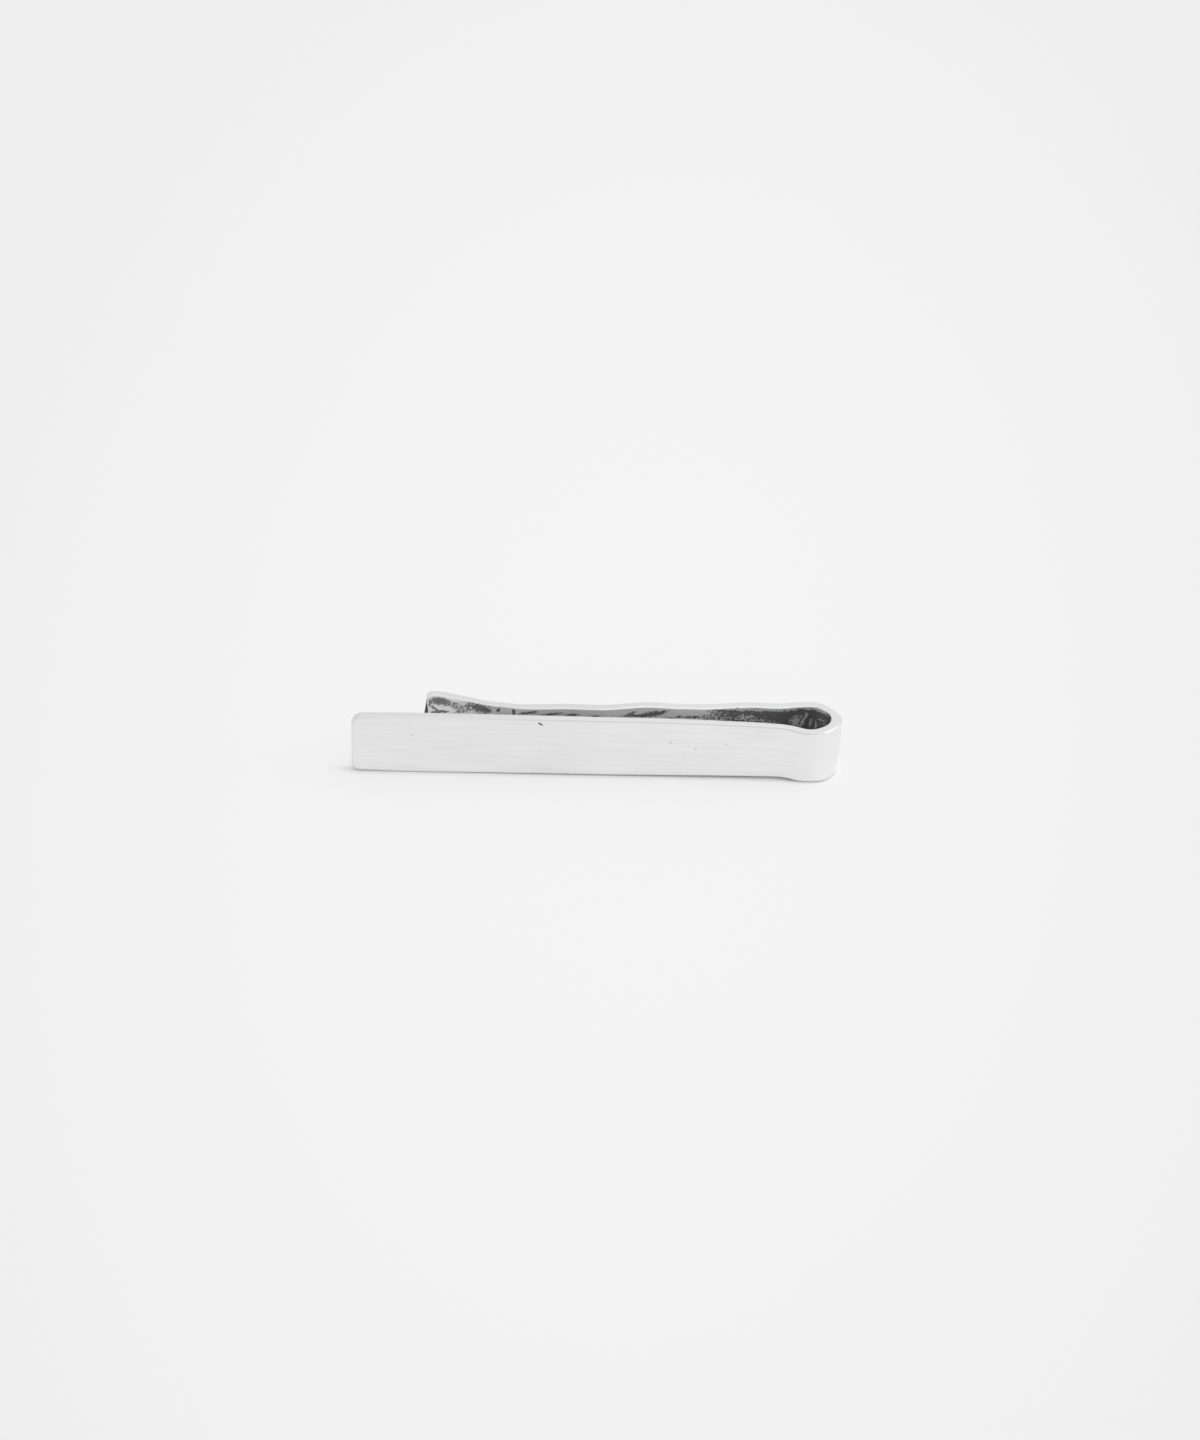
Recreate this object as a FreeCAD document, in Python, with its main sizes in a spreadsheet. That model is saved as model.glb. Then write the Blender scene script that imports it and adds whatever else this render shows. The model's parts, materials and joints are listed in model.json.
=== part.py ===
import FreeCAD, Part
import math
import os
import Sketcher

# A tie clip bent from one strip of silver. The front bar runs into a keyhole-shaped spring loop,
# and the strip returns behind the bar as a back leg that pinches the tie and flares at its tip.
# X runs along the clip with the loop at its +X end, and 0 is halfway along.
# Y runs from the front of the bar to the back leg, and 0 is the axis of the loop.
# Z is up, across the strip, and 0 is the long edges that the clip stands on.

# Driving sizes in millimetres, with angles in degrees.
driving_sizes = {
    "clip_length": 55.0,  # free end of the bar to the crown of the loop
    "strip_thickness": 1.1,
    "edge_radius": 0.25,  # softened long edges of the strip
    "bar_width": 7.3,
    "bar_corner_radius": 0.9,  # corners of the bar's free end
    "waist_length": 12.0,  # stretch of the bar that narrows towards the loop
    "loop_narrowing": 0.7,  # how much narrower the strip is round the loop
    "loop_inner_radius": 2.4,
    "front_bulge": 0.85,  # how far the loop stands out in front of the bar
    "shoulder_reach": 3.8,  # seams of the loop to its axis, along the clip
    "crown_lean": 0.5,  # how far the loop leans out between its lower edge and its upper one
    "leg_length": 40.0,  # seam of the leg to its tip, along the clip
    "leg_slope": 3.6,  # angle at which the leg closes on the bar
    "leg_widening": 0.5,  # how much wider the leg is at its tip than at the loop
    "pinch_radius": 14.0,  # gripping face of the bend where the leg turns away from the bar
    "flare_angle": 22.0,  # steepest angle of the flared tip
    "lip_run": 1.2,  # straight stretch of the flare
    "lip_radius": 8.0,  # gripping face of the last bend, which levels the tip
    "tip_slant": 1.2,  # how much shorter the leg is along its upper edge
    "tip_corner_radius": 0.5,
    "cut_overrun": 2.0,  # how far cutting profiles pass the solid
}

# Ends and centre of a sketch element, and the smallest angle of an edge that gets softened.
start, end, centre = 1, 2, 3
quarter = math.pi / 2
sharp_angle = math.radians(20)
touching = 1e-6

doc = FreeCAD.newDocument("tie_clip")
sheet = doc.addObject("Spreadsheet::Sheet", "sizes")
for row, (alias, number) in enumerate(driving_sizes.items(), start=1):
    sheet.set(f"A{row}", alias)
    sheet.set(f"B{row}", str(number))
    sheet.setAlias(f"B{row}", alias)
doc.recompute()

# Places that several pieces share, as expressions on the sheet for the features that use them.
# The crown, the seams and the tip are those of the lower edge.
slope_text = "(sizes.leg_slope * 1 deg)"
outer_radius_text = "(sizes.loop_inner_radius + sizes.strip_thickness)"
bar_face_text = f"({outer_radius_text} - sizes.front_bulge)"
half_length_text = "(sizes.clip_length / 2)"
crown_text = f"({half_length_text} - sizes.crown_lean)"
seam_text = f"({crown_text} - {outer_radius_text} - sizes.shoulder_reach)"
leg_face_text = f"({outer_radius_text} / cos({slope_text}) - sizes.shoulder_reach * tan({slope_text}))"
loop_width_text = "(sizes.bar_width - sizes.loop_narrowing)"
tip_text = f"({seam_text} - sizes.leg_length)"

# The same places as numbers, from which the sketches are first drawn.
thickness = float(sheet.strip_thickness)
slope = math.radians(float(sheet.leg_slope))
flare = math.radians(float(sheet.flare_angle))
inner_radius = float(sheet.loop_inner_radius)
outer_radius = inner_radius + thickness
bar_face = outer_radius - float(sheet.front_bulge)
lean = float(sheet.crown_lean)
crown = float(sheet.clip_length) / 2 - lean
free_end = -float(sheet.clip_length) / 2
reach = float(sheet.shoulder_reach)
seam = crown - outer_radius - reach
leg_face = outer_radius / math.cos(slope) - reach * math.tan(slope)
bar_width = float(sheet.bar_width)
loop_width = bar_width - float(sheet.loop_narrowing)
tip = seam - float(sheet.leg_length)


def point(x, y):
    return FreeCAD.Vector(x, y, 0)


def moved(place, distance, angle):
    return place + distance * point(math.cos(angle), math.sin(angle))


def new_body(label):
    body = doc.addObject("PartDesign::Body", label)
    body.Label = label
    return body


def new_sketch(body, name, role, offset_text=None):
    plane = [feature for feature in body.Origin.OriginFeatures if feature.Role == role][0]
    sketch = body.newObject("Sketcher::SketchObject", name)
    sketch.AttachmentSupport = (plane, [""])
    sketch.MapMode = "FlatFace"
    if offset_text:
        sketch.setExpression("AttachmentOffset.Base.z", offset_text)
    return sketch


def line(sketch, first, last):
    return sketch.addGeometry(Part.LineSegment(first, last))


def arc(sketch, middle, radius, first_angle, last_angle):
    circle = Part.Circle(middle, FreeCAD.Vector(0, 0, 1), radius)
    return sketch.addGeometry(Part.ArcOfCircle(circle, first_angle, last_angle))


def constrain(sketch, *rules):
    for rule in rules:
        sketch.addConstraint(Sketcher.Constraint(*rule))


def dimension(sketch, name, expression, *rule):
    index = sketch.addConstraint(Sketcher.Constraint(*rule))
    sketch.renameConstraint(index, name)
    sketch.setExpression(f"Constraints.{name}", expression)


def normal_at(face, place):
    u, v = face.Surface.parameter(place)
    return face.normalAt(u, v)


def on_plane(places, plane):
    base, normal = plane
    return all(abs((place - base).dot(normal)) < touching for place in places)


def sharp_edges(shape, seams):
    # Names of the edges where two faces meet at an angle, apart from those round a seam.
    names = []
    for number, edge in enumerate(shape.Edges, start=1):
        middle = edge.valueAt((edge.FirstParameter + edge.LastParameter) / 2)
        places = [middle] + [vertex.Point for vertex in edge.Vertexes]
        if any(on_plane(places, seam_plane) for seam_plane in seams):
            continue
        first, second = shape.ancestorsOfType(edge, Part.Face)
        if normal_at(first, middle).getAngle(normal_at(second, middle)) > sharp_angle:
            names.append(f"Edge{number}")
    return names


def soften(body, name, base, edges, radius_text):
    doc.recompute()
    fillet = body.newObject("PartDesign::Fillet", name)
    fillet.Base = (base, edges)
    fillet.setExpression("Radius", radius_text)
    return fillet


def leaning_pad(body, name, sketch, height_text):
    # The loop and the leg rise along the lean of the strip instead of straight up.
    pad = body.newObject("PartDesign::Pad", name)
    pad.Profile = sketch
    pad.UseCustomVector = True
    pad.setExpression("Direction.x", "sizes.crown_lean")
    pad.setExpression("Direction.y", "0")
    pad.setExpression("Direction.z", loop_width_text)
    pad.AlongSketchNormal = True
    pad.setExpression("Length", height_text)
    doc.recompute()
    return pad


rise = FreeCAD.Vector(lean, 0, loop_width)
bar_seam = (point(seam, -bar_face), rise.cross(point(0, 1)).normalize())
leg_seam = (point(seam, leg_face), rise.cross(point(-math.sin(slope), math.cos(slope))).normalize())


def make_front_bar():
    # Outline seen from the front, with a rounded free end and a top edge that dips to the loop.
    body = new_body("front_bar")
    sketch = new_sketch(body, "bar_outline", "XZ_Plane", bar_face_text)
    corner = float(sheet.bar_corner_radius)
    upper_seam = seam + lean
    waist = upper_seam - float(sheet.waist_length)
    half_run = (upper_seam - waist) / 2
    half_drop = (bar_width - loop_width) / 2
    bend = (half_run**2 + half_drop**2) / (2 * half_drop)
    turn = math.asin(half_run / bend)

    bottom = line(sketch, point(free_end + corner, 0), point(seam, 0))
    joint = line(sketch, point(seam, 0), point(upper_seam, loop_width))
    dip = arc(sketch, point(upper_seam, loop_width + bend), bend, 3 * quarter - turn, 3 * quarter)
    brow = arc(sketch, point(waist, bar_width - bend), bend, quarter - turn, quarter)
    top = line(sketch, point(waist, bar_width), point(free_end + corner, bar_width))
    high = arc(sketch, point(free_end + corner, bar_width - corner), corner, quarter, 2 * quarter)
    side = line(sketch, point(free_end, bar_width - corner), point(free_end, corner))
    low = arc(sketch, point(free_end + corner, corner), corner, 2 * quarter, 3 * quarter)
    constrain(
        sketch,
        ("Coincident", bottom, end, joint, start),
        ("Coincident", joint, end, dip, end),
        ("Tangent", dip, start, brow, start),
        ("Tangent", brow, end, top, start),
        ("Tangent", top, end, high, start),
        ("Tangent", high, end, side, start),
        ("Tangent", side, end, low, start),
        ("Tangent", low, end, bottom, start),
        ("Horizontal", bottom),
        ("Horizontal", top),
        ("Vertical", side),
        ("Vertical", dip, centre, dip, end),
        ("Equal", dip, brow),
        ("Equal", high, low),
        ("PointOnObject", bottom, end, -1),
    )
    dimension(sketch, "seam", seam_text, "DistanceX", bottom, end, seam)
    dimension(sketch, "lean", "sizes.crown_lean", "DistanceX", joint, start, joint, end, lean)
    dimension(sketch, "free_end", f"-{half_length_text}", "DistanceX", side, end, free_end)
    dimension(sketch, "bar_width", "sizes.bar_width", "DistanceY", top, end, bar_width)
    dimension(sketch, "loop_width", loop_width_text, "DistanceY", joint, end, loop_width)
    dimension(sketch, "waist", "sizes.waist_length", "DistanceX", top, start, joint, end, upper_seam - waist)
    dimension(sketch, "corner", "sizes.bar_corner_radius", "Radius", high, corner)

    pad = body.newObject("PartDesign::Pad", "bar_strip")
    pad.Profile = sketch
    pad.Reversed = True
    pad.setExpression("Length", "sizes.strip_thickness")
    doc.recompute()
    soften(body, "bar_edges", pad, sharp_edges(pad.Shape, [bar_seam]), "sizes.edge_radius")
    return body


def make_spring_loop():
    # Outline seen from above: shoulder, round of the loop and tail towards the leg,
    # along the outside of the strip and then along its inside.
    body = new_body("spring_loop")
    sketch = new_sketch(body, "loop_outline", "XY_Plane")
    axis = point(crown - outer_radius, 0)
    back_outer = point(seam, leg_face)
    back_inner = moved(back_outer, thickness, slope - quarter)
    front = line(sketch, point(seam, -bar_face), point(seam, thickness - bar_face))
    back = line(sketch, back_outer, back_inner)
    sides = []
    for radius, depth, tail_end in (
        (outer_radius, bar_face, back_outer),
        (inner_radius, bar_face - thickness, back_inner),
    ):
        bend = (reach**2 + depth**2 - radius**2) / (2 * (radius - depth))
        turn = math.atan2(reach, depth + bend)
        shoulder = arc(sketch, point(seam, -depth - bend), bend, quarter - turn, quarter)
        ring = arc(sketch, axis, radius, -quarter - turn, slope + quarter)
        tail = line(sketch, moved(axis, radius, slope + quarter), tail_end)
        constrain(
            sketch,
            ("Tangent", shoulder, start, ring, start),
            ("Tangent", ring, end, tail, start),
            ("Vertical", shoulder, centre, shoulder, end),
        )
        sides.append((shoulder, ring, tail))
    (outer_shoulder, outer_ring, outer_tail), (inner_shoulder, inner_ring, inner_tail) = sides
    constrain(
        sketch,
        ("Vertical", front),
        ("Coincident", front, start, outer_shoulder, end),
        ("Coincident", front, end, inner_shoulder, end),
        ("Coincident", back, start, outer_tail, end),
        ("Coincident", back, end, inner_tail, end),
        ("Coincident", outer_ring, centre, inner_ring, centre),
        ("PointOnObject", outer_ring, centre, -1),
    )
    dimension(sketch, "seam", seam_text, "DistanceX", front, start, seam)
    dimension(sketch, "bar_face", f"-{bar_face_text}", "DistanceY", front, start, -bar_face)
    dimension(sketch, "thickness", "sizes.strip_thickness", "Distance", front, thickness)
    dimension(sketch, "outer_radius", outer_radius_text, "Radius", outer_ring, outer_radius)
    dimension(sketch, "inner_radius", "sizes.loop_inner_radius", "Radius", inner_ring, inner_radius)
    dimension(sketch, "reach", "sizes.shoulder_reach", "DistanceX", front, start, outer_ring, centre, reach)
    dimension(sketch, "back_seam", seam_text, "DistanceX", back, start, seam)
    dimension(sketch, "leg_face", leg_face_text, "DistanceY", back, start, leg_face)
    dimension(sketch, "back_thickness", "sizes.strip_thickness", "Distance", back, thickness)
    dimension(sketch, "slope", f"{slope_text} - 90 deg", "Angle", back, slope - quarter)

    pad = leaning_pad(body, "loop_strip", sketch, loop_width_text)
    soften(body, "loop_edges", pad, sharp_edges(pad.Shape, [bar_seam, leg_seam]), "sizes.edge_radius")
    return body


def tip_corner_edges(shape, tip_plane):
    # The two edges of the slanted tip that run through the thickness of the strip.
    names = []
    for number, edge in enumerate(shape.Edges, start=1):
        first, last = [vertex.Point for vertex in edge.Vertexes]
        if on_plane([first, last], tip_plane) and abs(first.z - last.z) < touching:
            names.append(f"Edge{number}")
    return names


def make_back_leg():
    # Outline seen from above: a straight run that closes on the bar, the pinch bend, the flare
    # and the bend that levels the tip, along the outside of the strip and back along its inside.
    body = new_body("back_leg")
    plan = new_sketch(body, "leg_plan", "XY_Plane")
    pinch = float(sheet.pinch_radius)
    lip = float(sheet.lip_radius)
    lip_run = float(sheet.lip_run)
    level = 2 * quarter
    root = point(seam, leg_face)
    pinch_length = pinch * (math.sin(slope) + math.sin(flare))
    lip_length = lip_run * math.cos(flare) + lip * math.sin(flare)
    run = (float(sheet.leg_length) - pinch_length - lip_length) / math.cos(slope)

    back = line(plan, root, moved(root, thickness, slope - quarter))
    sides = []
    for inset in (0, thickness):
        first = moved(root, inset, slope - quarter)
        bend_start = moved(first, run, level + slope)
        pinch_centre = moved(moved(root, run, level + slope), pinch - thickness, slope + quarter)
        pinch_radius = pinch - thickness + inset
        flare_start = moved(pinch_centre, pinch_radius, -quarter - flare)
        flare_end = moved(flare_start, lip_run, level - flare)
        lip_radius = lip + thickness - inset
        lip_centre = moved(flare_end, lip_radius, -quarter - flare)
        straight = line(plan, first, bend_start)
        pinch_bend = arc(plan, pinch_centre, pinch_radius, -quarter - flare, slope - quarter)
        flare_line = line(plan, flare_start, flare_end)
        lip_bend = arc(plan, lip_centre, lip_radius, quarter - flare, quarter)
        constrain(
            plan,
            ("Tangent", straight, end, pinch_bend, end),
            ("Tangent", pinch_bend, start, flare_line, start),
            ("Tangent", flare_line, end, lip_bend, start),
        )
        sides.append((straight, pinch_bend, flare_line, lip_bend, moved(lip_centre, lip_radius, quarter)))
    outer_run, outer_pinch, outer_flare, outer_lip, tip_outer = sides[0]
    inner_run, inner_pinch, inner_flare, inner_lip, tip_inner = sides[1]
    tip_line = line(plan, tip_outer, tip_inner)
    constrain(
        plan,
        ("Coincident", back, start, outer_run, start),
        ("Coincident", back, end, inner_run, start),
        ("Perpendicular", back, outer_run),
        ("Parallel", outer_run, inner_run),
        ("Coincident", outer_pinch, centre, inner_pinch, centre),
        ("Coincident", outer_lip, centre, inner_lip, centre),
        ("Parallel", outer_flare, inner_flare),
        ("Coincident", tip_line, start, outer_lip, end),
        ("Coincident", tip_line, end, inner_lip, end),
        ("Vertical", tip_line),
        ("PointOnObject", outer_lip, centre, tip_line),
    )
    dimension(plan, "seam", seam_text, "DistanceX", back, start, seam)
    dimension(plan, "leg_face", leg_face_text, "DistanceY", back, start, leg_face)
    dimension(plan, "slope", f"{slope_text} - 90 deg", "Angle", back, slope - quarter)
    dimension(plan, "thickness", "sizes.strip_thickness", "Distance", back, thickness)
    dimension(plan, "pinch_radius", "sizes.pinch_radius", "Radius", inner_pinch, pinch)
    dimension(plan, "flare", "180 deg - sizes.flare_angle * 1 deg", "Angle", outer_flare, level - flare)
    dimension(plan, "lip_run", "sizes.lip_run", "Distance", outer_flare, lip_run)
    dimension(plan, "lip_radius", "sizes.lip_radius", "Radius", inner_lip, lip)
    dimension(plan, "tip", tip_text, "DistanceX", tip_line, start, tip)

    pad = leaning_pad(body, "leg_strip", plan, "sizes.bar_width + sizes.leg_widening")

    # Seen from the front, the leg widens towards its tip, and the tip is cut at a slant.
    trim = new_sketch(body, "leg_trim", "XZ_Plane")
    over = float(sheet.cut_overrun)
    slant = float(sheet.tip_slant)
    tip_width = loop_width + float(sheet.leg_widening)
    ceiling = tip_width + over + bar_width
    upper_root = point(seam + lean, loop_width)
    upper_tip = point(tip + slant, tip_width)
    widening = (tip_width - loop_width) / (upper_root.x - upper_tip.x)
    corners = [
        upper_root + over * point(1, -widening),
        upper_tip,
        point(tip, 0),
        point(tip, -over),
        point(tip - over, -over),
        point(tip - over, ceiling),
        point(upper_root.x + over, ceiling),
    ]
    count = len(corners)
    edges = [line(trim, corners[index], corners[(index + 1) % count]) for index in range(count)]
    for index in range(count):
        constrain(trim, ("Coincident", edges[index], end, edges[(index + 1) % count], start))
    top_edge, tip_edge, drop, floor, far_side, roof, near_side = edges
    upper_seam = trim.addGeometry(Part.Point(upper_root))
    constrain(
        trim,
        ("Vertical", drop),
        ("Horizontal", floor),
        ("Vertical", far_side),
        ("Horizontal", roof),
        ("Vertical", near_side),
        ("PointOnObject", upper_seam, start, top_edge),
        ("PointOnObject", tip_edge, end, -1),
    )
    upper_seam_text = f"{seam_text} + sizes.crown_lean"
    tip_width_text = f"{loop_width_text} + sizes.leg_widening"
    dimension(trim, "upper_seam", upper_seam_text, "DistanceX", upper_seam, start, upper_root.x)
    dimension(trim, "loop_width", loop_width_text, "DistanceY", upper_seam, start, loop_width)
    dimension(trim, "upper_tip", f"{tip_text} + sizes.tip_slant", "DistanceX", tip_edge, start, upper_tip.x)
    dimension(trim, "tip_width", tip_width_text, "DistanceY", tip_edge, start, tip_width)
    dimension(trim, "tip", tip_text, "DistanceX", tip_edge, end, tip)
    dimension(trim, "near", "sizes.cut_overrun", "DistanceX", upper_seam, start, near_side, end, over)
    dimension(trim, "below", "sizes.cut_overrun", "DistanceY", drop, end, drop, start, over)
    dimension(trim, "beyond", "sizes.cut_overrun", "DistanceX", floor, end, floor, start, over)
    ceiling_text = f"{tip_width_text} + sizes.cut_overrun + sizes.bar_width"
    dimension(trim, "ceiling", ceiling_text, "DistanceY", roof, start, ceiling)

    pocket = body.newObject("PartDesign::Pocket", "leg_trimmed")
    pocket.Profile = trim
    pocket.Type = "ThroughAll"
    pocket.SideType = "Symmetric"
    doc.recompute()
    if pocket.Shape.Volume >= pad.Shape.Volume:
        raise RuntimeError("the leg was not trimmed")
    tip_plane = (point(tip, 0), FreeCAD.Vector(tip_width, 0, -slant).normalize())
    corner_edges = tip_corner_edges(pocket.Shape, tip_plane)
    rounded = soften(body, "tip_corners", pocket, corner_edges, "sizes.tip_corner_radius")
    doc.recompute()
    soften(body, "leg_edges", rounded, sharp_edges(rounded.Shape, [leg_seam]), "sizes.edge_radius")
    return body


pieces = [make_front_bar(), make_spring_loop(), make_back_leg()]
doc.recompute()

for item in doc.Objects:
    if "Invalid" in item.State or "Error" in item.State:
        raise RuntimeError(f"{item.Name} failed: {item.State}")
for piece in pieces:
    if piece.Shape.isNull() or not piece.Shape.isValid() or len(piece.Shape.Solids) != 1:
        raise RuntimeError(f"{piece.Label} is not one valid solid")

os.makedirs("parts", exist_ok=True)
for piece in pieces:
    piece.Shape.exportStep(f"parts/{piece.Label}.step")
    print(piece.Label, round(piece.Shape.Volume, 2), piece.Shape.BoundBox)
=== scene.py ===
import json
import math

import bpy
import numpy as np
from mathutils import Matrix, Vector, noise


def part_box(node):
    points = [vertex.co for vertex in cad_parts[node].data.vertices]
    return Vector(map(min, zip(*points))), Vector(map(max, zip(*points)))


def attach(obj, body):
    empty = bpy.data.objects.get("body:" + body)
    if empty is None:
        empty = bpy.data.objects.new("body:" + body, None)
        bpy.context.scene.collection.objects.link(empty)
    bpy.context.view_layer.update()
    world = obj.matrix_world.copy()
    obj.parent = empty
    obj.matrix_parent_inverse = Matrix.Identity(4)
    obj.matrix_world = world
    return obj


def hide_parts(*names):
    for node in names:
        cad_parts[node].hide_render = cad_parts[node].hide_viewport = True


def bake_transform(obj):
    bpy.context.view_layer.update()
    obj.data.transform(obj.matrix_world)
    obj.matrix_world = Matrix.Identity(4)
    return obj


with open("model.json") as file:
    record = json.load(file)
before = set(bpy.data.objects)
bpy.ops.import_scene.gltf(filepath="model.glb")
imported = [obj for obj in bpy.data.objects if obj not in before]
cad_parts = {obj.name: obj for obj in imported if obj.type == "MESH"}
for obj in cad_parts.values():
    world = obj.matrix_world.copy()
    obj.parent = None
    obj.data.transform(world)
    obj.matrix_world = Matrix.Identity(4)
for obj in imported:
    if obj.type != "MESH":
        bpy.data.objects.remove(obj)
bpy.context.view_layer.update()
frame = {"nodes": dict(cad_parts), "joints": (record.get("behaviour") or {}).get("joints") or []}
mm = 0.001
joints = {joint["name"]: joint for joint in frame["joints"]}
print("frame loaded with", ", ".join(sorted(frame["nodes"])))

# A tie clip of one silver strip. A flat piece of strip is measured by its distance along the outer face,
# its height and its depth from the outer face, and is then bent along its path.
barLow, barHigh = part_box("front_bar")
loopLow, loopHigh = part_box("spring_loop")
frontSeam = Vector(joints["front_flex"]["pos_m"])
backSeam = Vector(joints["rear_flex"]["pos_m"])
outerRadius = (loopHigh.y - loopLow.y) / 2
strip = {
    "thickness": barHigh.y - barLow.y,
    "barWidth": barHigh.z - barLow.z,
    "loopWidth": loopHigh.z - loopLow.z,
    "lean": 0.49 * mm,  # how far the loop leans out from its lower edge to its upper one
    "slope": math.radians(3.6),  # angle at which the leg closes on the bar
    "gridStep": 0.13 * mm,
    "filletSteps": 5,
    "rimSteps": 3,
    "cornerSteps": 5,
    "seed": 7.3,
    "lift": 0.27 * mm,  # how far the lower edge stands off the table before the loop
    "liftRise": (26.0 * mm, 46.0 * mm),  # along the strip from the free end of the bar
    "liftFall": (51.3 * mm, 53.8 * mm),
    # how far the upper edge comes down towards the loop, by distance along the strip, in mm
    "drops": [
        (0, 0), (12, 0.03), (20, 0.07), (28, 0.11), (34.5, 0.13), (39, 0.21),
        (41.5, 0.32), (43.5, 0.37), (45.8, 0.46), (48, 0.62), (51.5, 0.7),
    ],
    "dropSoft": 0.9 * mm,  # how far to each side the drops are evened out
    "dropSteps": 5,
}


def smooth(share):
    share = np.clip(share, 0, 1)
    return share * share * (3 - 2 * share)


def ramp(value, span):
    # from 0 at the start of the span to 1 at its end
    return smooth((value - span[0]) / (span[1] - span[0]))


def liftAt(along):
    return strip["lift"] * ramp(along, strip["liftRise"]) * (1 - ramp(along, strip["liftFall"]))


def topAt(along):
    places, drops = mm * np.array(strip["drops"]).T
    shifts = strip["dropSoft"] * np.linspace(-1, 1, strip["dropSteps"])
    drop = sum(np.interp(along + shift, places, drops) for shift in shifts) / len(shifts)
    return strip["barWidth"] - drop


def alongPath(start, heading, runs, distance):
    # plan points and headings of a path of straight runs and arcs, given as lengths and turns
    place = np.array([start[0], start[1]], float)
    x = np.zeros_like(distance)
    y = np.zeros_like(distance)
    angle = np.full_like(distance, heading)
    passed = 0.0
    for number, (length, turn) in enumerate(runs):
        last = number == len(runs) - 1
        here = distance >= passed if last else (distance >= passed) & (distance < passed + length)
        reach = np.append(distance[here] - passed, length)
        if turn:
            radius = length / turn
            swing = heading + reach / radius
            runX = place[0] + radius * (np.sin(swing) - math.sin(heading))
            runY = place[1] - radius * (np.cos(swing) - math.cos(heading))
        else:
            swing = np.full_like(reach, heading)
            runX = place[0] + reach * math.cos(heading)
            runY = place[1] + reach * math.sin(heading)
        x[here], y[here], angle[here] = runX[:-1], runY[:-1], swing[:-1]
        place = np.array([runX[-1], runY[-1]])
        heading += turn
        passed += length
    return x, y, angle


def pathLength(runs):
    return sum(length for length, turn in runs)


def roundedBorder(length, width, lowCorner, highCorner):
    # border of a flat strip from its seam along the lower edge, round the free end and back,
    # with the outward direction at each point
    step, turns = strip["gridStep"], strip["cornerSteps"]
    columns = round((length - max(lowCorner, highCorner)) / step)
    rows = round((width - lowCorner - highCorner) / step)
    share = np.linspace(0, 1, columns + 1)
    upright = np.linspace(lowCorner, width - highCorner, rows + 1)
    swing = np.linspace(-math.pi / 2, 0, 2 * turns + 1)
    points, outward = [], []

    def turnCorner(angles, radius, centreHeight):
        for a in angles:
            points.append((length - radius + radius * math.cos(a), centreHeight + radius * math.sin(a)))
            outward.append((math.cos(a), math.sin(a)))

    for s in share[:-1]:
        points.append((s * (length - lowCorner), 0))
        outward.append((0, -1))
    turnCorner(swing[:-1], lowCorner, lowCorner)
    for z in upright[:-1]:
        points.append((length, z))
        outward.append((1, 0))
    turnCorner(swing + math.pi / 2, highCorner, width - highCorner)
    for s in share[-2::-1]:
        points.append((s * (length - highCorner), width))
        outward.append((0, 1))
    return np.array(points, float), np.array(outward, float), columns + turns, rows + 2 * turns


def fillGrid(low, high, first, last):
    # points between four borders, so that rows and columns run evenly into all of them
    u = (low[:, 0] - low[0, 0]) / (low[-1, 0] - low[0, 0])
    v = (first[:, 1] - first[0, 1]) / (first[-1, 1] - first[0, 1])
    u, v = u[:, None, None], v[None, :, None]
    across = (1 - v) * low[:, None] + v * high[:, None]
    lengthwise = (1 - u) * first[None] + u * last[None]
    corners = (1 - u) * ((1 - v) * low[0] + v * high[0]) + u * ((1 - v) * low[-1] + v * high[-1])
    return across + lengthwise - corners


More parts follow.
